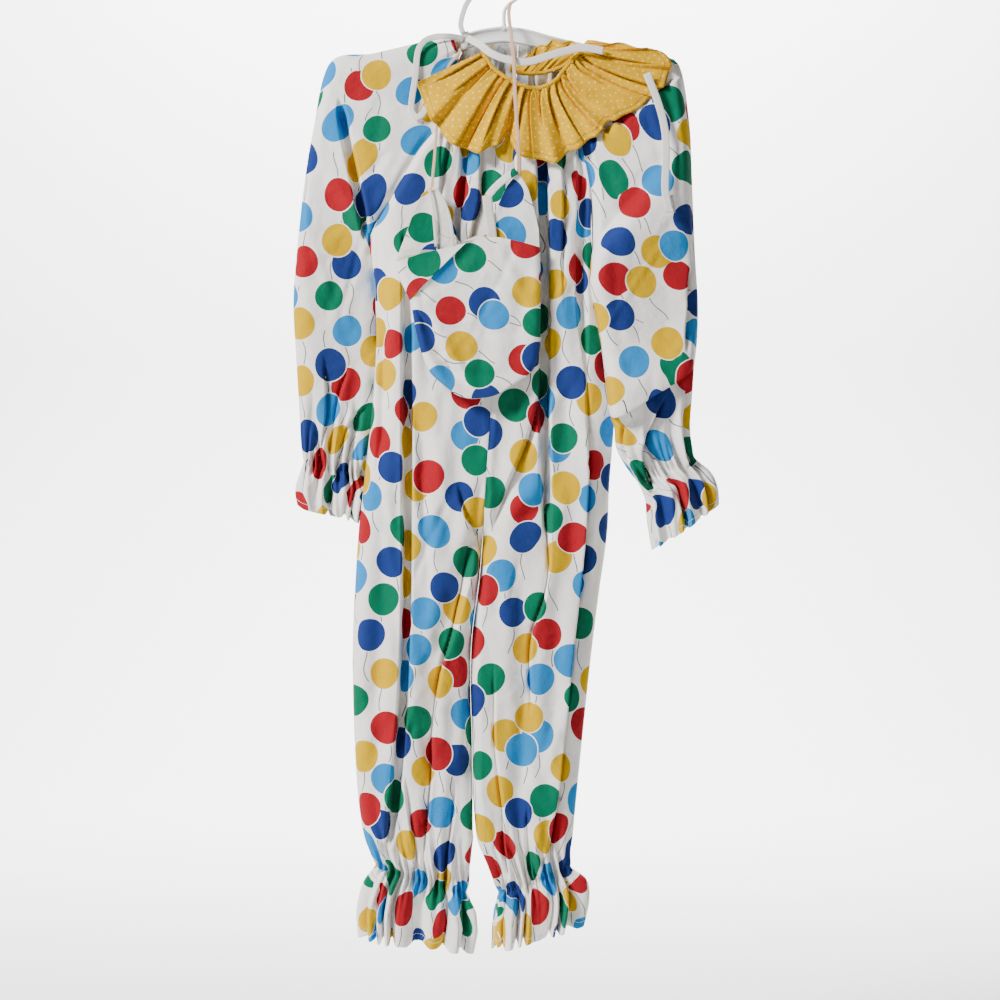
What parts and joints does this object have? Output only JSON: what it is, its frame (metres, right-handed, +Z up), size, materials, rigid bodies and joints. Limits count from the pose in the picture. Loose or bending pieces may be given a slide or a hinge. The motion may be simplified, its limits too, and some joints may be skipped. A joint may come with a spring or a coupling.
{
  "type": "clown costume on a hanger",
  "caption": "Child's balloon-print clown jumpsuit with ruffled wrists and ankles, yellow gathered collar and soft hat, on a plastic hanger.",
  "frame": {"origin": "inside of the hanger hook's top, where a rail carries it", "axes": "+X to the right of someone who looks at the costume's front, +Y from the front to the back, +Z up"},
  "size_m": [0.5229, 0.1036, 1.2288],
  "materials": {
    "cotton_print": "matte printed cotton",
    "yellow_pindot": "matte printed cotton",
    "tape": "matte twill tape",
    "elastic": "matte braided elastic",
    "plastic": "moulded, slightly glossy"
  },
  "bodies": {
    "root": {"front_left": "cotton_print", "front_right": "cotton_print", "back_left": "cotton_print", "back_right": "cotton_print", "sleeve_left": "cotton_print", "sleeve_right": "cotton_print", "collar_ruff": "yellow_pindot", "collar_casing": "yellow_pindot", "hat_front": "cotton_print", "hat_back": "cotton_print", "hat_elastic": "tape", "hat_cord_left": "elastic", "hat_cord_right": "elastic", "tie_top": "tape", "tie_front": "tape", "tie_left": "tape", "tie_right": "tape", "tie_knot": "tape", "hanger": "plastic"}
  },
  "joints": []
}
